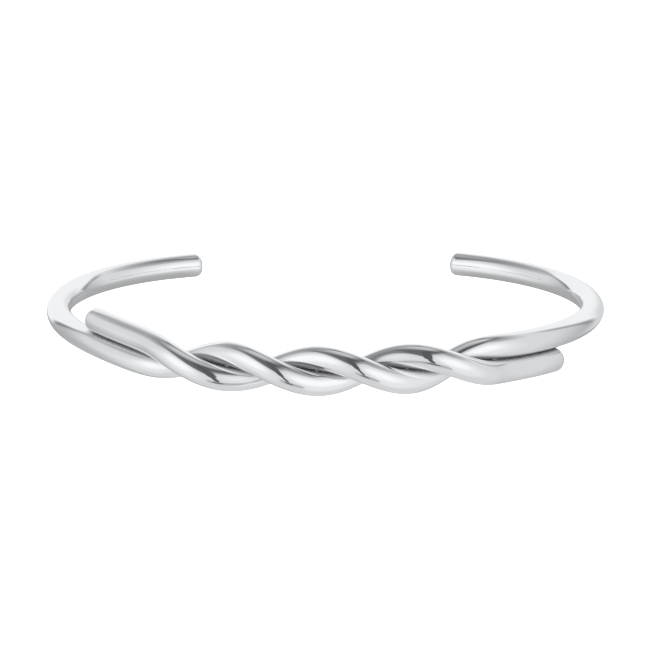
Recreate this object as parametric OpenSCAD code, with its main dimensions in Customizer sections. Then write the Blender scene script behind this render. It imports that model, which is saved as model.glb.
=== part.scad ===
// Open cuff bangle of two round silver wires that are wound round each other at the front.
// Each wire runs from a blunt free end beside the twist, through the twist and round one side
// of the wrist to a blunt end at the back. The two wires have one shape: turned over about
// the front to back axis, the right one is the left one. The front faces -Y, the bangle lies
// flat on the surface, and lengths along the band are counted from the middle of the front.

/* [Wire] */
// Diameter of the round wire
wire_d = 2.7; // [2:0.1:3.2]
// Clear gap between the two wires
wire_gap = 0.05; // [0.04:0.01:0.3]
// Length of the dome on each end of a wire, as a share of the wire's radius
dome_share = 0.7; // [0.4:0.05:1]
// Bluntness of the domes, where 2 is a plain ellipse
dome_bluntness = 2.5; // [2:0.1:4]

/* [Band] */
// Radius of the bend at the middle of the front, to the middle of the band
middle_radius = 27.5; // [26:0.5:36]
// Radius of the flatter bend at either side of it, inside the twist
flat_radius = 45; // [36:1:60]
// Radius of the sharper bend just inside each end of the twist
knee_radius = 18.5; // [17:0.5:26]
// Radius of the nearly straight stretch beside each free end
straight_radius = 49; // [36:1:60]
// Radius where an arm leaves the tip of the free end behind
arm_radius = 31; // [26:0.5:36]
// Radius round the sides and back
side_radius = 21.6; // [20:0.2:25]
// Length of each arm from the middle of the front to the start of its end dome
arm_length = 71.4; // [62:0.1:74]

/* [Twist] */
// Length of band for one full turn of the twist
twist_pitch = 19.5; // [16:0.5:24]
// Number of full turns
twist_turns = 2; // [1:1:2]
// Length over which the twist runs out at either side
twist_fade = 1.4; // [0.8:0.05:2.5]
// Length of each free end past the twist, to the start of its dome
free_length = 9.9; // [6:0.1:14]

/* [Lie] */
// How far the pair of wires rises in the end at the left of the twist and falls at the right
lie_shift = 1.14; // [0:0.02:1.6]
// Length of band over which about two thirds of that rise or fall happens
lie_run = 12.6; // [8:0.2:20]

/* [Rest] */
// Angle by which the back lies lower when the bangle rests by itself
back_sink = 1.34; // [0:0.01:3]
// Angle by which the right side lies higher when the bangle rests by itself
right_rise = 1.22; // [0:0.01:3]

/* [Mesh] */
// Sides of the round wire
sides = 24; // [12:2:28]
// Spacing of the rings along the twist and the free ends
twist_step = 0.65; // [0.6:0.05:1.3]
// Spacing of the rings along the plain part of the arms
arm_step = 1.3; // [1:0.1:3]
// Rings on each end dome
dome_rings = 5; // [3:1:8]

/* [Hidden] */
wire_r = wire_d / 2;
wind_r = (wire_d + wire_gap) / 2;
twist_half = twist_pitch * twist_turns / 2;
free_end = -(twist_half + free_length);
plain_start = twist_half + free_length;
plan_step = 0.25;

// How sharply the band bends: rows of length from the middle of the front and 1 over the radius
bends = [
    [0, 1 / middle_radius],
    [8, 1 / flat_radius],
    [16, 1 / knee_radius],
    [24, 1 / straight_radius],
    [32, 1 / arm_radius],
    [42, 1 / side_radius]
];

// The right half of the band from above: rows of length, direction in degrees from +X, x and y
band = [
    for (s = 0, turn = 0, x = 0, y = 0; s < arm_length + 2 * plan_step;
        bend = lookup(s + plan_step / 2, bends) * plan_step * 180 / PI,
        x = x + plan_step * cos(turn + bend / 2),
        y = y + plan_step * sin(turn + bend / 2),
        turn = turn + bend,
        s = s + plan_step)
    [s, turn, x, y]
];
band_turn = [for (row = band) [row[0], row[1]]];
band_x = [for (row = band) [row[0], row[2]]];
band_y = [for (row = band) [row[0], row[3]]];

// Direction of the band at a length of s from the middle of the front
function heading(s) = sign(s) * lookup(abs(s), band_turn);

// A ramp from 0 to infinity with a soft foot of the length twist_fade
function soft_ramp(s) = twist_fade * ln(1 + exp(s / twist_fade));

// Angle wound up to a length s: 0 on top, then 90 in front, 180 below and 270 behind
function winding(s) = 360 / twist_pitch * (soft_ramp(s + twist_half) - soft_ramp(s - twist_half));

// Share of the rise or fall past the twist that is reached at a length s, quick at first and ever slower
function settled(s) = 1 - exp(-soft_ramp(abs(s) - twist_half) / lie_run);

// Middle of the right wire at a length s
function centre(s) =
    let(out = wind_r * sin(winding(s)), turn = heading(s))
    [
        sign(s) * lookup(abs(s), band_x) + out * sin(turn),
        lookup(abs(s), band_y) - out * cos(turn),
        wind_r * cos(winding(s)) - sign(s) * lie_shift * settled(s)
    ];

function unit(v) = v / norm(v);

// Direction of the right wire at a length s
function aim(s) = unit(centre(s + plan_step) - centre(s - plan_step));

// A ring of the given radius round the wire, moved along it by ahead
function ring(s, radius, ahead) =
    let(along = aim(s), across = unit(cross(along, [0, 0, 1])), up = cross(across, along))
    [
        for (i = [0 : sides - 1])
        let(a = 360 * i / sides)
        centre(s) + ahead * along + radius * (cos(a) * across + sin(a) * up)
    ];

// Reach and radius of dome ring i, from the foot of the dome at 0 to its tip
function dome_reach(i) = dome_share * wire_r * pow(sin(90 * i / (dome_rings + 1)), 2 / dome_bluntness);
function dome_radius(i) = wire_r * pow(cos(90 * i / (dome_rings + 1)), 2 / dome_bluntness);

twist_rings = ceil((plain_start - free_end) / twist_step);
arm_rings = ceil((arm_length - plain_start) / arm_step);
stations = [
    for (i = [0 : twist_rings - 1]) free_end + (plain_start - free_end) * i / twist_rings,
    for (i = [0 : arm_rings]) plain_start + (arm_length - plain_start) * i / arm_rings
];
rings = [
    for (i = [dome_rings : -1 : 1]) ring(free_end, dome_radius(i), -dome_reach(i)),
    for (s = stations) ring(s, wire_r, 0),
    for (i = [1 : dome_rings]) ring(arm_length, dome_radius(i), dome_reach(i))
];
tips = [
    centre(free_end) - dome_share * wire_r * aim(free_end),
    centre(arm_length) + dome_share * wire_r * aim(arm_length)
];
skin = concat([for (r = rings) each r], tips);

// Faces between the rings, and fans that close them at both tips
last_ring = len(rings) * sides - sides;
first_tip = last_ring + sides;
skin_faces = [
    for (i = [0 : len(rings) - 2], j = [0 : sides - 1])
        let(a = i * sides + j, b = i * sides + (j + 1) % sides)
        each [[a, b, b + sides], [a, b + sides, a + sides]],
    for (j = [0 : sides - 1]) [first_tip, (j + 1) % sides, j],
    for (j = [0 : sides - 1]) [first_tip + 1, last_ring + j, last_ring + (j + 1) % sides]
];

// A point of the right wire as the point of the left wire that it matches
function turned_over(p) = [-p.x, p.y, -p.z];

// A point after the bangle has leaned to lie by itself: the back sinks, then the right side rises
function at_rest(p) =
    let(
        y = p.y * cos(back_sink) + p.z * sin(back_sink),
        z = p.z * cos(back_sink) - p.y * sin(back_sink)
    )
    [p.x * cos(right_rise) - z * sin(right_rise), y, z * cos(right_rise) + p.x * sin(right_rise)];

right_skin = [for (p = skin) at_rest(p)];
left_skin = [for (p = skin) at_rest(turned_over(p))];
xs = [for (p = concat(left_skin, right_skin)) p.x];
ys = [for (p = concat(left_skin, right_skin)) p.y];
zs = [for (p = concat(left_skin, right_skin)) p.z];

// A closed wire, placed so that the bangle stands on z = 0 over the middle of its outline
module wire(points) {
    translate([-(min(xs) + max(xs)) / 2, -(min(ys) + max(ys)) / 2, -min(zs)])
        polyhedron(points, skin_faces);
}

// Left arm, lower strand at the left of the twist, free end at the right
module left_wire() {
    color("silver") wire(left_skin);
}

// Right arm, upper strand at the right of the twist, free end at the left
module right_wire() {
    color("gainsboro") wire(right_skin);
}

left_wire();
right_wire();
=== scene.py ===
"""Studio scene of an open cuff bangle of two round silver wires wound round each other at the front."""
import logging
import math
from dataclasses import dataclass, field
from enum import Enum
from functools import cached_property

import bpy
import numpy as np
from mathutils import Euler, Matrix, Vector


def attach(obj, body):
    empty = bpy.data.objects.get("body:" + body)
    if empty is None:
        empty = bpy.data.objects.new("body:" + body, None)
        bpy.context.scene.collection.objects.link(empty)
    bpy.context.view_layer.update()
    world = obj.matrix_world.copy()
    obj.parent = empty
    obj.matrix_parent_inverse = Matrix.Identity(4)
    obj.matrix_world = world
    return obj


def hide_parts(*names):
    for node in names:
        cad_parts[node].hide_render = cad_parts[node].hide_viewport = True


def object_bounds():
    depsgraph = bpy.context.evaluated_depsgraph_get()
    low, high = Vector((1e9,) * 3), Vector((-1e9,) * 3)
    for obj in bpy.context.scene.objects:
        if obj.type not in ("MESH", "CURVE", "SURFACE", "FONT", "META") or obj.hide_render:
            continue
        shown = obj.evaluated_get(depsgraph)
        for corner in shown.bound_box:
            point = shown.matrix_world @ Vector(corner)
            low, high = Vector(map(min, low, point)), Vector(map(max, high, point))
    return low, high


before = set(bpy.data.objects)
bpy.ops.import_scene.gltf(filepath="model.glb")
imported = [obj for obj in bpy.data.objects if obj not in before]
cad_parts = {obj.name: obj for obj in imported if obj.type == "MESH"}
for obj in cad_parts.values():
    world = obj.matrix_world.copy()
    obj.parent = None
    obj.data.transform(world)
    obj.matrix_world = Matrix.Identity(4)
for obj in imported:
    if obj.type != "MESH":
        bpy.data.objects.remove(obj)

LOG = logging.getLogger("bangle")
CAD_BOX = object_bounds()
# A brightness is what the eye sees, from 0 for black to 1 for white, and its light is that to this power.
EYE_POWER = 2.2
Feed = bpy.types.NodeSocket | float | tuple[float, ...]
Setting = str | bool | int


def unit(vectors: np.ndarray) -> np.ndarray:
    """Rows of vectors, each brought to length 1."""
    return vectors / np.linalg.norm(vectors, axis=-1, keepdims=True)


class Side(Enum):
    """The two wires, each by the name of its node in the frame."""

    LEFT = "left_wire"
    RIGHT = "right_wire"


@dataclass(frozen=True)
class Band:
    """The bangle's middle line seen from above, with six radii of bend from the middle of the front to a side.

    Lengths along it are counted from the middle of the front, positive to the right.
    """

    middle_radius: float = 27.5e-3
    flat_radius: float = 45.0e-3
    knee_radius: float = 18.5e-3
    straight_radius: float = 49.0e-3
    arm_radius: float = 31.0e-3
    side_radius: float = 21.6e-3
    lengths: tuple[float, ...] = (0.0, 8.0e-3, 16.0e-3, 24.0e-3, 32.0e-3, 42.0e-3)
    step: float = 0.02e-3
    reach: float = 76.0e-3

    @property
    def radii(self) -> tuple[float, ...]:
        """The radius of the bend at each of the six lengths."""
        return (self.middle_radius, self.flat_radius, self.knee_radius, self.straight_radius,
                self.arm_radius, self.side_radius)

    @cached_property
    def table(self) -> tuple[np.ndarray, np.ndarray, np.ndarray, np.ndarray]:
        """Length, heading, X and Y at short steps along the right half.

        The bend, 1 over the radius, runs in straight lines between the six lengths. The heading is the running
        sum of the bend, and X and Y are the running sums of the cosine and sine of the heading.

        Returns:
            The lengths, and the heading, X and Y at each of them.
        """
        s = np.arange(0.0, self.reach, self.step)
        middles = s[:-1] + self.step / 2.0
        bend = np.interp(middles, self.lengths, 1.0 / np.array(self.radii)) * self.step
        way = np.concatenate([[0.0], np.cumsum(bend)])
        halfway = way[:-1] + bend / 2.0
        x = np.concatenate([[0.0], np.cumsum(np.cos(halfway))]) * self.step
        y = np.concatenate([[0.0], np.cumsum(np.sin(halfway))]) * self.step
        return s, way, x, y

    def heading(self, s: np.ndarray) -> np.ndarray:
        """Direction of the band in radians from +X at lengths along it, which changes sign with the length."""
        steps, way, _, _ = self.table
        return np.sign(s) * np.interp(np.abs(s), steps, way)

    def place(self, s: np.ndarray) -> tuple[np.ndarray, np.ndarray]:
        """X and Y at lengths along the band: X changes sign with the length and Y doesn't."""
        steps, _, x, y = self.table
        return np.sign(s) * np.interp(np.abs(s), steps, x), np.interp(np.abs(s), steps, y)


@dataclass(frozen=True)
class Twist:
    """The stretch at the front where the wires are wound round each other."""

    pitch: float = 19.5e-3
    turns: int = 2
    fade: float = 1.4e-3

    @property
    def half(self) -> float:
        """Half of the twist's length along the band."""
        return self.pitch * self.turns / 2.0

    def ramp(self, s: np.ndarray) -> np.ndarray:
        """A ramp from 0 upwards whose corner is rounded: fade times the logarithm of 1 plus e to the s over fade."""
        return self.fade * np.logaddexp(0.0, s / self.fade)

    def winding(self, s: np.ndarray) -> np.ndarray:
        """Angle wound up at lengths along the band: a straight ramp between two rounded corners.

        Args:
            s: Lengths along the band.

        Returns:
            The angle in radians: 0 on top, then in front, below and behind.
        """
        return 2.0 * np.pi / self.pitch * (self.ramp(s + self.half) - self.ramp(s - self.half))


@dataclass(frozen=True)
class Lie:
    """How the pair of wires rises at the left of the twist and falls at the right.

    The shift is reached in the end, and about two thirds of it within the run.
    """

    shift: float = 1.14e-3
    run: float = 12.6e-3

    def drop(self, s: np.ndarray, past: np.ndarray) -> np.ndarray:
        """Height lost at lengths along the band: the shift times 1 less e to the minus past over run.

        Args:
            s: Lengths along the band, whose sign tells a fall at the right from a rise at the left.
            past: How far past the twist each of them is.

        Returns:
            The height lost at each length.
        """
        return np.sign(s) * self.shift * (1.0 - np.exp(-past / self.run))


@dataclass(frozen=True)
class Rest:
    """How far the bangle leans when it lies on the surface by itself, in radians."""

    back_sink: float = math.radians(1.34)
    right_rise: float = math.radians(1.22)

    def lean(self, points: np.ndarray) -> np.ndarray:
        """Points after the back has sunk about X and the right side has risen about Y.

        Args:
            points: Rows of X, Y and Z.

        Returns:
            The same rows, turned.
        """
        turn = Euler((-self.back_sink, -self.right_rise, 0.0)).to_matrix()
        return points @ np.array(turn).T


class Wiring:
    """Adds nodes to a node tree and joins them."""

    def __init__(self, tree: bpy.types.NodeTree) -> None:
        """Takes the tree that the nodes go into."""
        self.tree = tree

    def node(self, kind: str, feeds: dict[int | str, Feed] | None = None, **settings: Setting) -> bpy.types.Node:
        """One node, set up and fed.

        Args:
            kind: The node's type, without the words that all types start with.
            feeds: What each input gets, by its number or name: a socket to join or a value to hold.
            settings: Properties of the node.

        Returns:
            The node.
        """
        made = self.tree.nodes.new("ShaderNode" + kind)
        for name, value in settings.items():
            setattr(made, name, value)
        for key, feed in (feeds or {}).items():
            if isinstance(feed, bpy.types.NodeSocket):
                self.tree.links.new(feed, made.inputs[key])
            else:
                made.inputs[key].default_value = feed
        return made

    def sum(self, operation: str, first: Feed, second: Feed = 0.0) -> bpy.types.NodeSocket:
        """The result of a sum on one or two numbers."""
        return self.node("Math", {0: first, 1: second}, operation=operation).outputs[0]

    def ramp(self, value: Feed, low: Feed, high: Feed, start: Feed, end: Feed) -> bpy.types.NodeSocket:
        """A soft ramp of a value from start at low to end at high, level outside them."""
        feeds = {0: value, 1: low, 2: high, 3: start, 4: end}
        return self.node("MapRange", feeds, interpolation_type="SMOOTHSTEP").outputs[0]


@dataclass(frozen=True)
class PolishedSilver:
    """Silver polished to a mirror, hand-worked to a faint waviness, with fine marks of drawing and polishing.

    Where the other wire stands close, shade is painted in: there the silver is painted a darker grey, and is duller
    and less metallic, in faint blotches.
    """

    name: str = "silver"
    colour: tuple[float, float, float] = (0.925, 0.93, 0.937)
    # the darker grey of the painted shade in the crevice between the wires
    crevice_shade_colour: tuple[float, float, float] = (0.36, 0.355, 0.365)
    roughness: float = 0.035
    roughness_spread: tuple[float, float] = (0.7, 1.4)
    dull_roughness: float = 0.42
    dull_metal: float = 0.55
    mark_depth: float = 0.0004e-3
    mark_spacing: float = 0.12e-3
    mark_stretch: float = 50.0
    wave_depth: float = 0.006e-3
    wave_length: float = 5.0e-3
    blotches_per_metre: float = 900.0
    blotch_floor: float = 0.85
    noise_span: tuple[float, float] = (0.3, 0.7)

    def material(self, radius: float) -> bpy.types.Material:
        """The finish as a node material, on the wire's own length and turn and its shelter attribute.

        Length and turn are rolled back into a straight rod, so that no pattern shows a seam. Marks are a noise
        drawn out along the rod, and the waviness is a broad noise.

        Args:
            radius: Radius of the wire.

        Returns:
            The material.
        """
        made = bpy.data.materials.new(self.name)
        made.use_nodes = True
        w = Wiring(made.node_tree)
        shader = made.node_tree.nodes["Principled BSDF"]
        uv = w.node("SeparateXYZ", {0: w.node("UVMap", uv_map="wire").outputs[0]}).outputs
        turn = w.sum("MULTIPLY", uv[1], 2.0 * math.pi)
        rod = [w.sum("MULTIPLY", w.sum(way, turn), radius) for way in ("COSINE", "SINE")]
        short = w.sum("MULTIPLY", uv[0], 1.0 / self.mark_stretch)
        drawn = w.node("CombineXYZ", {0: short, 1: rod[0], 2: rod[1]}).outputs[0]
        solid = w.node("CombineXYZ", {0: uv[0], 1: rod[0], 2: rod[1]}).outputs[0]
        marks = w.node("TexNoise", {"Vector": drawn, "Scale": 1.0 / self.mark_spacing, "Detail": 4.0}).outputs[0]
        waves = w.node("TexNoise", {"Vector": solid, "Scale": 1.0 / self.wave_length, "Detail": 1.0}).outputs[0]
        shelter = w.node("Attribute", attribute_name="shelter").outputs["Fac"]
        blotches = w.node("TexNoise", {"Vector": solid, "Scale": self.blotches_per_metre, "Detail": 3.0}).outputs[0]
        # painted shade: the colour goes to a darker grey where the other wire stands close, in faint blotches
        dark = w.sum("MULTIPLY", shelter, w.ramp(blotches, *self.noise_span, self.blotch_floor, 1.0))
        colour = w.node("Mix", {0: dark, 6: (*self.colour, 1.0), 7: (*self.crevice_shade_colour, 1.0)}, data_type="RGBA")
        w.tree.links.new(colour.outputs[2], shader.inputs["Base Color"])
        least, most = (self.roughness * share for share in self.roughness_spread)
        rough = w.node("Mix", {0: dark, 2: w.ramp(marks, *self.noise_span, least, most), 3: self.dull_roughness})
        w.tree.links.new(rough.outputs[0], shader.inputs["Roughness"])
        broad = w.node("Bump", {"Strength": 1.0, "Distance": self.wave_depth, "Height": waves})
        fine = w.node("Bump", {"Strength": 1.0, "Distance": self.mark_depth, "Height": marks,
                               "Normal": broad.outputs[0]})
        w.tree.links.new(fine.outputs[0], shader.inputs["Normal"])
        metal = w.node("Mix", {0: dark, 2: 1.0, 3: self.dull_metal})
        w.tree.links.new(metal.outputs[0], shader.inputs["Metallic"])
        return made


@dataclass
class WoundWires:
    """The two wires of the bangle, alike but for half a turn about the front to back axis.

    The place is the move that stands them where the frame has them, which build works out.
    """

    wire_diameter: float = 2.7e-3
    wire_gap: float = 0.01e-3
    dome_share: float = 0.7
    dome_bluntness: float = 2.5
    free_length: float = 9.9e-3
    arm_length: float = 71.4e-3
    band: Band = field(default_factory=Band)
    twist: Twist = field(default_factory=Twist)
    lie: Lie = field(default_factory=Lie)
    rest: Rest = field(default_factory=Rest)
    finish: PolishedSilver = field(default_factory=PolishedSilver)
    sides: int = 96
    ring_step: float = 0.125e-3
    dome_rings: int = 28
    shelter_reach: float = 0.85e-3
    shelter_core: float = 0.15e-3
    shelter_window: float = 6.0e-3
    shelter_steps: int = 61
    body: str = "root"
    place: np.ndarray = field(default_factory=lambda: np.zeros(3))

    @property
    def radius(self) -> float:
        """Radius of the wire."""
        return self.wire_diameter / 2.0

    def track(self, side: Side, s: np.ndarray) -> tuple[np.ndarray, np.ndarray]:
        """Where one wire's middle line lies over the floor.

        Args:
            side: Which wire.
            s: Lengths along the band, counted towards that wire's own arm.

        Returns:
            Rows of X and Y, and rows of the level unit vectors across the line.
        """
        middle = self.placed(side, self.centre(s), np.zeros((0, 3)))[:, :2] + self.place[:2]
        along = unit(np.gradient(middle, axis=0))
        return middle, np.stack([-along[:, 1], along[:, 0]], axis=-1)

    def centre(self, s: np.ndarray) -> np.ndarray:
        """Middle line of the right wire: the band, moved out and up by the winding angle, plus the lie of the ends.

        The move out is the winding radius times the sine of the angle, and the move up is that radius times its
        cosine, less the height that the pair loses past the twist.

        Args:
            s: Lengths along the band.

        Returns:
            Rows of X, Y and Z, before the bangle leans to its rest.
        """
        wound = (self.wire_diameter + self.wire_gap) / 2.0
        angle, way = self.twist.winding(s), self.band.heading(s)
        x, y = self.band.place(s)
        out = wound * np.sin(angle)
        up = wound * np.cos(angle) - self.lie.drop(s, self.twist.ramp(np.abs(s) - self.twist.half))
        return np.stack([x + out * np.sin(way), y - out * np.cos(way), up], axis=-1)

    def skin(self) -> tuple[np.ndarray, np.ndarray, np.ndarray, np.ndarray]:
        """The right wire's surface: circles carried along the middle line, and shrinking circles over each dome.

        A dome is a quarter of an ellipse of raised power: its reach and its radius follow the sine and the cosine
        of an angle, each raised to 2 over the bluntness.

        Returns:
            A grid of points by ring and side, the two tips, the length along the wire of each ring, and the
            length along the band of each ring.
        """
        first, last = -(self.twist.half + self.free_length), self.arm_length
        stations = np.linspace(first, last, int((last - first) / self.ring_step))
        angle = np.linspace(0.0, np.pi / 2.0, self.dome_rings + 2)[1:-1]
        power = 2.0 / self.dome_bluntness
        reach = self.dome_share * self.radius * np.sin(angle) ** power
        shrink = self.radius * np.cos(angle) ** power
        s = np.concatenate([np.full(self.dome_rings, first), stations, np.full(self.dome_rings, last)])
        ahead = np.concatenate([-reach[::-1], np.zeros(len(stations)), reach])
        radius = np.concatenate([shrink[::-1], np.full(len(stations), self.radius), shrink])
        probe = self.band.step
        along = unit(self.centre(s + probe) - self.centre(s - probe))
        across = unit(np.cross(along, (0.0, 0.0, 1.0)))
        above = np.cross(across, along)
        turn = np.linspace(0.0, 2.0 * np.pi, self.sides, endpoint=False)
        spoke = np.cos(turn)[None, :, None] * across[:, None] + np.sin(turn)[None, :, None] * above[:, None]
        middle = self.centre(s) + ahead[:, None] * along
        grid = middle[:, None] + radius[:, None, None] * spoke
        tip = self.dome_share * self.radius
        tips = self.centre(s[[0, -1]]) + np.array([-tip, tip])[:, None] * along[[0, -1]]
        walked = np.concatenate([[0.0], np.cumsum(np.linalg.norm(np.diff(middle, axis=0), axis=1))])
        return grid, tips, walked, s

    def shelter(self, grid: np.ndarray, s: np.ndarray) -> np.ndarray:
        """How closely the other wire shelters each point of the right wire: 0 in the open, 1 where they touch.

        The clear distance is the least distance to the other wire's middle line, over a short stretch of band
        to either side, less the radius. Shelter is full within the core, falls from there to the reach as a
        straight line, and is then squared. The finish paints its crevice shade by it.

        Args:
            grid: The right wire's points by ring and side.
            s: The length along the band of each ring.

        Returns:
            The shelter by ring and side.
        """
        nearby = s[:, None] + np.linspace(-self.shelter_window, self.shelter_window, self.shelter_steps)
        nearby = np.clip(nearby, -self.arm_length, self.twist.half + self.free_length)
        other = self.centre(-nearby) * np.array([-1.0, 1.0, -1.0])
        clear = np.linalg.norm(grid[:, :, None] - other[:, None], axis=-1).min(axis=-1) - self.radius
        return np.clip((self.shelter_reach - clear) / (self.shelter_reach - self.shelter_core), 0.0, 1.0) ** 2

    def placed(self, side: Side, grid: np.ndarray, tips: np.ndarray) -> np.ndarray:
        """Vertices of one wire at rest: turned over for the left wire, then leaned.

        Args:
            side: Which wire.
            grid: The right wire's rings.
            tips: The right wire's two tips.

        Returns:
            Rows of X, Y and Z, ring after ring and the tips last.
        """
        points = np.concatenate([grid.reshape(-1, 3), tips])
        if side is Side.LEFT:
            points = points * np.array([-1.0, 1.0, -1.0])
        return self.rest.lean(points)

    def mesh(self, name: str, points: np.ndarray, walked: np.ndarray, shelter: np.ndarray) -> bpy.types.Mesh:
        """A closed tube from rows of rings: four-sided faces between rings and a fan of triangles at each tip.

        Args:
            name: Name of the mesh.
            points: Vertices, ring after ring and the two tips last.
            walked: Length along the wire of each ring, for the UV map.
            shelter: Shelter of each point by ring and side.

        Returns:
            The mesh, smooth shaded, with a UV map of length along and share of the way round.
        """
        n, rings = self.sides, len(walked)
        ring, side = np.meshgrid(np.arange(rings - 1), np.arange(n), indexing="ij")
        a, b = ring * n + side, ring * n + (side + 1) % n
        quads = np.stack([a, b, b + n, a + n], axis=-1).reshape(-1, 4)
        near, far = np.arange(n), (rings - 1) * n + np.arange(n)
        tip = rings * n
        fans = np.concatenate([
            np.stack([np.full(n, tip), np.roll(near, -1), near], axis=-1),
            np.stack([np.full(n, tip + 1), far, np.roll(far, -1)], axis=-1),
        ])
        made = bpy.data.meshes.new(name)
        made.from_pydata(points.tolist(), [], quads.tolist() + fans.tolist())
        made.polygons.foreach_set("use_smooth", np.ones(len(made.polygons), dtype=bool))
        around = np.stack([side, side + 1, side + 1, side], axis=-1).reshape(-1) / n
        along = np.stack([walked[ring], walked[ring], walked[ring + 1], walked[ring + 1]], axis=-1).reshape(-1)
        fan_around = np.concatenate([
            np.stack([near + 0.5, near + 1.0, near], axis=-1), np.stack([near + 0.5, near, near + 1.0], axis=-1),
        ]).reshape(-1) / n
        fan_along = np.concatenate([np.full(3 * n, walked[0]), np.full(3 * n, walked[-1])])
        uv = np.stack([np.concatenate([along, fan_along]), np.concatenate([around, fan_around])], axis=-1)
        made.uv_layers.new(name="wire").data.foreach_set("uv", uv.astype(np.float32).reshape(-1))
        values = np.append(shelter.reshape(-1), [0.0, 0.0]).astype(np.float32)
        made.attributes.new("shelter", "FLOAT", "POINT").data.foreach_set("value", values)
        made.update()
        return made

    def build(self) -> list[bpy.types.Object]:
        """Makes both wires, stands them where the frame has them and dresses them.

        Returns:
            The two pieces.
        """
        grid, tips, walked, s = self.skin()
        shelter = self.shelter(grid, s)
        shapes = {side: self.placed(side, grid, tips) for side in Side}
        everything = np.concatenate(list(shapes.values()))
        low, high = everything.min(axis=0), everything.max(axis=0)
        floor = Vector(CAD_BOX[0])
        middle = (Vector(CAD_BOX[0]) + Vector(CAD_BOX[1])) / 2.0
        self.place = np.array([middle.x, middle.y, floor.z]) - np.append((low[:2] + high[:2]) / 2.0, low[2])
        finish = self.finish.material(self.radius)
        made = []
        for side, points in shapes.items():
            mesh = self.mesh(side.value + "_skin", points + self.place, walked, shelter)
            mesh.materials.append(finish)
            piece = bpy.data.objects.new(side.value + "_polished", mesh)
            bpy.context.scene.collection.objects.link(piece)
            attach(piece, self.body)
            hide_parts(side.value)
            made.append(piece)
        return made


@dataclass(frozen=True)
class PhotoCamera:
    """The camera, on the photograph's line of sight to the bangle."""

    elevation: float = math.radians(15.6)
    azimuth: float = math.radians(-0.2)
    roll: float = math.radians(1.8)
    distance: float = 0.6
    pixels_per_metre: float = 9050.0
    target: tuple[float, float, float] = (0.0, 0.0, 1.63e-3)
    picture: int = 650
    sensor: float = 36.0
    clip: tuple[float, float] = (0.01, 50.0)

    def build(self) -> bpy.types.Object:
        """Makes the camera and makes it the scene's own.

        Returns:
            The camera.
        """
        data = bpy.data.cameras.new("photo_camera")
        data.sensor_width = self.sensor
        data.lens = self.pixels_per_metre * self.distance * self.sensor / self.picture
        data.clip_start, data.clip_end = self.clip
        camera = bpy.data.objects.new("photo_camera", data)
        e, a = self.elevation, self.azimuth
        look = Vector((-math.sin(a) * math.cos(e), math.cos(a) * math.cos(e), -math.sin(e)))
        right = Vector((math.cos(a), math.sin(a), 0.0))
        up = right.cross(look)
        across = right * math.cos(self.roll) + up * math.sin(self.roll)
        above = up * math.cos(self.roll) - right * math.sin(self.roll)
        turn = Matrix((across, above, -look)).transposed()
        camera.matrix_world = Matrix.Translation(Vector(self.target) - look * self.distance) @ turn.to_4x4()
        bpy.context.scene.collection.objects.link(camera)
        bpy.context.scene.camera = camera
        return camera


@dataclass(frozen=True)
class ArmShade:
    """The soft shade on the floor along each arm, which only the polished wires see.

    Start, end and fade are lengths along the band, and the depth is how far the strip lies under the floor.
    """

    start: float = 32.0e-3
    end: float = 78.0e-3
    fade: float = 8.0e-3
    half_width: float = 4.5e-3
    brightness: float = 0.66
    depth: float = 0.01e-3
    rows: int = 60
    columns: int = 13

    def material(self) -> bpy.types.Material:
        """An even grey glow, which the cover attribute lets through or holds back.

        Returns:
            The material.
        """
        made = bpy.data.materials.new("arm_shade")
        made.use_nodes = True
        made.node_tree.nodes.clear()
        w = Wiring(made.node_tree)
        cover = w.node("Attribute", attribute_name="cover").outputs["Fac"]
        glow = w.node("Emission", {"Strength": self.brightness ** EYE_POWER})
        mixed = w.node("MixShader", {0: cover, 1: w.node("BsdfTransparent").outputs[0], 2: glow.outputs[0]})
        w.node("OutputMaterial", {0: mixed.outputs[0]})
        return made

    def mesh(self, name: str, middle: np.ndarray, across: np.ndarray, s: np.ndarray) -> bpy.types.Mesh:
        """A level strip along a wire's middle line, whose cover fades to both sides and at both ends.

        Across, the cover is 1 less the square of the share of the half width. Along, it rises from the start and
        falls to the end over the fade, both as a straight line.

        Args:
            name: Name of the mesh.
            middle: Rows of X and Y along the line.
            across: Rows of level unit vectors across it.
            s: Length along the band of each row.

        Returns:
            The strip as a grid of four-sided faces.
        """
        share = np.linspace(-1.0, 1.0, self.columns)
        flat = middle[:, None] + across[:, None] * share[None, :, None] * self.half_width
        points = np.concatenate([flat, np.full((*flat.shape[:2], 1), -self.depth)], axis=-1).reshape(-1, 3)
        row, column = np.meshgrid(np.arange(self.rows - 1), np.arange(self.columns - 1), indexing="ij")
        a = row * self.columns + column
        faces = np.stack([a, a + 1, a + self.columns + 1, a + self.columns], axis=-1).reshape(-1, 4)
        made = bpy.data.meshes.new(name)
        made.from_pydata(points.tolist(), [], faces.tolist())
        ends = np.clip(np.minimum(s - self.start, self.end - s) / self.fade, 0.0, 1.0)
        cover = ends[:, None] * (1.0 - share[None, :] ** 2)
        made.attributes.new("cover", "FLOAT", "POINT").data.foreach_set("value", cover.astype(np.float32).reshape(-1))
        made.update()
        return made

    def build(self, wires: WoundWires) -> list[bpy.types.Object]:
        """Lays a strip under each arm.

        Args:
            wires: The wires, already built.

        Returns:
            The two strips.
        """
        s = np.linspace(self.start, self.end, self.rows)
        finish = self.material()
        made = []
        for side in Side:
            mesh = self.mesh(side.value + "_shade", *wires.track(side, s), s)
            mesh.materials.append(finish)
            strip = bpy.data.objects.new(side.value + "_shade", mesh)
            strip.visible_camera = strip.visible_diffuse = strip.visible_shadow = False
            bpy.context.scene.collection.objects.link(strip)
            made.append(strip)
        return made


class Outline(Enum):
    """The outline of a panel, by the power that both of its half sides are raised to."""

    KITE = 1.0
    ELLIPSE = 2.0
    CUSHION = 3.0
    BOX = 4.0


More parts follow.
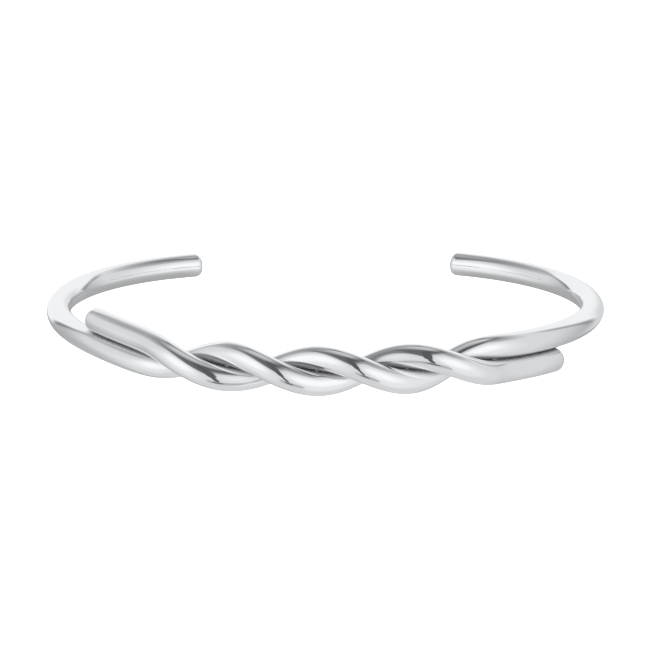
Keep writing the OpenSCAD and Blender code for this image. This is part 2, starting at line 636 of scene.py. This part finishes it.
class Edge(Enum):
    """How softly a panel ends, by the share of its size over which it fades."""

    CRISP = 0.1
    FIRM = 0.2
    SOFT = 0.3
    HAZY = 0.45
    VEILED = 0.6


class Tone(Enum):
    """How bright a panel is to the eye."""

    WHITE = 0.98
    PALE = 0.94
    MILKY = 0.9
    LIGHT = 0.82
    GREY = 0.7
    MIDDLE = 0.57
    DIM = 0.5
    DARK = 0.4
    BLACK = 0.35


@dataclass(frozen=True)
class Panel:
    """A soft-edged panel of the studio, flat towards the bangle and far away.

    Azimuth counts from the camera's side to the right, and all angles are in degrees. The lean turns the panel
    in its own plane.
    """

    name: str
    azimuth: float
    elevation: float
    half_width: float
    half_height: float
    lean: float
    outline: Outline
    edge: Edge
    tone: Tone

    @property
    def turn(self) -> Euler:
        """The turn that carries a sheet facing the camera's side to this panel: lean, then height, then azimuth."""
        way = Matrix.Rotation(math.radians(self.azimuth), 3, "Z")
        rise = Matrix.Rotation(-math.radians(self.elevation), 3, "X")
        return (way @ rise @ Matrix.Rotation(math.radians(self.lean), 3, "Y")).to_euler()

    @property
    def spread(self) -> Vector:
        """The tangents of its half angles, to the side and up, with 1 for the way ahead."""
        return Vector((math.tan(math.radians(self.half_width)), 1.0, math.tan(math.radians(self.half_height))))


@dataclass(frozen=True)
class Studio:
    """A pale floor, and a tent of soft panels with openings overhead and towards the camera.

    The sides are the brightness between the panels, and the tent is lit to make up for what the silver swallows.
    Each panel is laid over those before it. Most panels stand in steps of five degrees, the others in whole ones.
    """

    floor_size: float = 6.0
    floor_colour: float = 0.9
    floor_roughness: float = 0.9
    floor_light: float = 1.45
    sides: float = 0.84
    cool_cast: float = 0.006
    silver_reflects: float = 0.93
    least_ahead: float = 0.001
    panels: tuple[Panel, ...] = (
        Panel("floor", 0, -90, 45, 45, 0, Outline.ELLIPSE, Edge.CRISP, Tone.LIGHT),
        Panel("low left side", -140, -20, 30, 50, 10, Outline.KITE, Edge.VEILED, Tone.GREY),
        Panel("low right side", 150, -10, 35, 35, -20, Outline.ELLIPSE, Edge.VEILED, Tone.GREY),
        Panel("left box edge", -55, -5, 40, 50, 0, Outline.KITE, Edge.VEILED, Tone.MILKY),
        Panel("left box", -50, 10, 25, 25, 0, Outline.ELLIPSE, Edge.VEILED, Tone.WHITE),
        Panel("right box edge", 50, -5, 35, 55, 10, Outline.ELLIPSE, Edge.VEILED, Tone.MILKY),
        Panel("right box", 40, 12, 25, 25, 0, Outline.ELLIPSE, Edge.VEILED, Tone.WHITE),
        Panel("ceiling", -170, 75, 45, 25, 20, Outline.CUSHION, Edge.VEILED, Tone.MIDDLE),
        Panel("left rim", -150, 15, 20, 25, 5, Outline.ELLIPSE, Edge.FIRM, Tone.DIM),
        Panel("right rim", 150, 15, 20, 20, 5, Outline.BOX, Edge.FIRM, Tone.MIDDLE),
        Panel("back wall left", -155, 12, 18, 26, 15, Outline.CUSHION, Edge.FIRM, Tone.PALE),
        Panel("back wall right", 165, 15, 28, 24, -10, Outline.CUSHION, Edge.FIRM, Tone.PALE),
        Panel("foot of the back wall", 155, -10, 15, 20, 20, Outline.BOX, Edge.VEILED, Tone.LIGHT),
        Panel("table edge", 2, -36, 16, 12, 0, Outline.BOX, Edge.CRISP, Tone.GREY),
        Panel("tripod", -2, -35, 6, 6, 0, Outline.ELLIPSE, Edge.SOFT, Tone.DARK),
        Panel("soft opening overhead", -20, 75, 26, 55, -15, Outline.KITE, Edge.SOFT, Tone.DARK),
        Panel("gap between the boxes", 2, 40, 6, 40, 5, Outline.CUSHION, Edge.FIRM, Tone.BLACK),
        Panel("foot of the gap", 0, -10, 3, 15, 0, Outline.CUSHION, Edge.CRISP, Tone.BLACK),
        Panel("dark side of the opening", 85, 75, 6, 25, -75, Outline.ELLIPSE, Edge.SOFT, Tone.BLACK),
        Panel("far side of the opening", -75, 60, 20, 5, 0, Outline.CUSHION, Edge.HAZY, Tone.DIM),
        Panel("light behind the opening", -170, 80, 20, 20, 0, Outline.ELLIPSE, Edge.HAZY, Tone.GREY),
        Panel("light spot behind the opening", 170, 75, 12, 6, 0, Outline.ELLIPSE, Edge.HAZY, Tone.LIGHT),
    )

    def floor(self) -> bpy.types.Object:
        """A wide pale sheet under the bangle, which the polished wires see as the panel of that name.

        Returns:
            The sheet.
        """
        h = self.floor_size / 2.0
        mesh = bpy.data.meshes.new("floor")
        mesh.from_pydata([(-h, -h, 0.0), (h, -h, 0.0), (h, h, 0.0), (-h, h, 0.0)], [], [(0, 1, 2, 3)])
        made = bpy.data.materials.new("floor")
        made.use_nodes = True
        shader = made.node_tree.nodes["Principled BSDF"]
        shader.inputs["Base Color"].default_value = (*[self.floor_colour] * 3, 1.0)
        shader.inputs["Roughness"].default_value = self.floor_roughness
        shader.inputs["Specular IOR Level"].default_value = 0.0
        shader.inputs["Emission Color"].default_value = (1.0, 1.0, 1.0, 1.0)
        shader.inputs["Emission Strength"].default_value = self.floor_light
        mesh.materials.append(made)
        sheet = bpy.data.objects.new("floor", mesh)
        sheet.visible_glossy = False
        bpy.context.scene.collection.objects.link(sheet)
        return sheet

    def panel_group(self) -> bpy.types.ShaderNodeTree:
        """The node group that lays one panel over the light so far.

        The direction is turned into the panel's own axes and divided by the tangents of its half angles. Its
        size is the root of the sum of both shares' powers, over the share ahead, and the panel fades there
        from 1 less its softness to 1 plus its softness.

        Returns:
            The group, whose one output is the light with the panel laid over it.
        """
        group = bpy.data.node_groups.new("soft_panel", "ShaderNodeTree")
        names = {"direction": "Vector", "turn": "Vector", "size": "Vector", "squareness": "Float",
                 "softness": "Float", "brightness": "Float", "under": "Float"}
        for name, kind in names.items():
            group.interface.new_socket(name, in_out="INPUT", socket_type="NodeSocket" + kind)
        group.interface.new_socket("light", in_out="OUTPUT", socket_type="NodeSocketFloat")
        start, end = group.nodes.new("NodeGroupInput"), group.nodes.new("NodeGroupOutput")
        w, given = Wiring(group), start.outputs
        turned = w.node("Mapping", {0: given["direction"], 2: given["turn"], 3: given["size"]},
                        vector_type="TEXTURE")
        axes = w.node("SeparateXYZ", {0: turned.outputs[0]}).outputs
        shares = [w.sum("POWER", w.sum("ABSOLUTE", axes[i]), given["squareness"]) for i in (0, 2)]
        root = w.sum("POWER", w.sum("ADD", *shares), w.sum("DIVIDE", 1.0, given["squareness"]))
        ahead = w.sum("MAXIMUM", w.sum("MULTIPLY", axes[1], -1.0), self.least_ahead)
        low, high = w.sum("SUBTRACT", 1.0, given["softness"]), w.sum("ADD", 1.0, given["softness"])
        cover = w.ramp(w.sum("DIVIDE", root, ahead), low, high, 1.0, 0.0)
        light = w.node("Mix", {0: cover, 2: given["under"], 3: given["brightness"]})
        group.links.new(light.outputs[0], end.inputs[0])
        return group

    def world(self) -> bpy.types.World:
        """The tent as the sky: the sides' own light with each panel laid over it in turn.

        Returns:
            The world, already the scene's own.
        """
        world = bpy.data.worlds.new("studio")
        world.use_nodes = True
        w, group = Wiring(world.node_tree), self.panel_group()
        direction = w.node("TexCoord").outputs["Generated"]
        light: Feed = self.sides
        for panel in self.panels:
            laid = w.node("Group", node_tree=group)
            w.tree.links.new(direction, laid.inputs["direction"])
            laid.inputs["turn"].default_value = panel.turn
            laid.inputs["size"].default_value = panel.spread
            laid.inputs["squareness"].default_value = panel.outline.value
            laid.inputs["softness"].default_value = panel.edge.value
            laid.inputs["brightness"].default_value = panel.tone.value
            if isinstance(light, bpy.types.NodeSocket):
                w.tree.links.new(light, laid.inputs["under"])
            else:
                laid.inputs["under"].default_value = light
            light = laid.outputs[0]
        cast = w.node("CombineXYZ", {0: w.sum("SUBTRACT", light, self.cool_cast), 1: light,
                                     2: w.sum("ADD", light, self.cool_cast)})
        colour = w.node("Gamma", {0: cast.outputs[0], 1: EYE_POWER})
        w.tree.links.new(colour.outputs[0], w.tree.nodes["Background"].inputs["Color"])
        w.tree.nodes["Background"].inputs["Strength"].default_value = 1.0 / self.silver_reflects
        bpy.context.scene.world = world
        return world


def main() -> None:
    """Builds the camera, the wires and the studio, in that order."""
    logging.basicConfig(level=logging.INFO, format="%(name)s: %(message)s")
    PhotoCamera().build()
    wires = WoundWires()
    for piece in wires.build():
        LOG.info("%s: %d faces", piece.name, len(piece.data.polygons))
    ArmShade().build(wires)
    studio = Studio()
    studio.floor()
    studio.world()
    bpy.context.scene.view_settings.view_transform = "Standard"


if __name__ == "__main__":
    main()
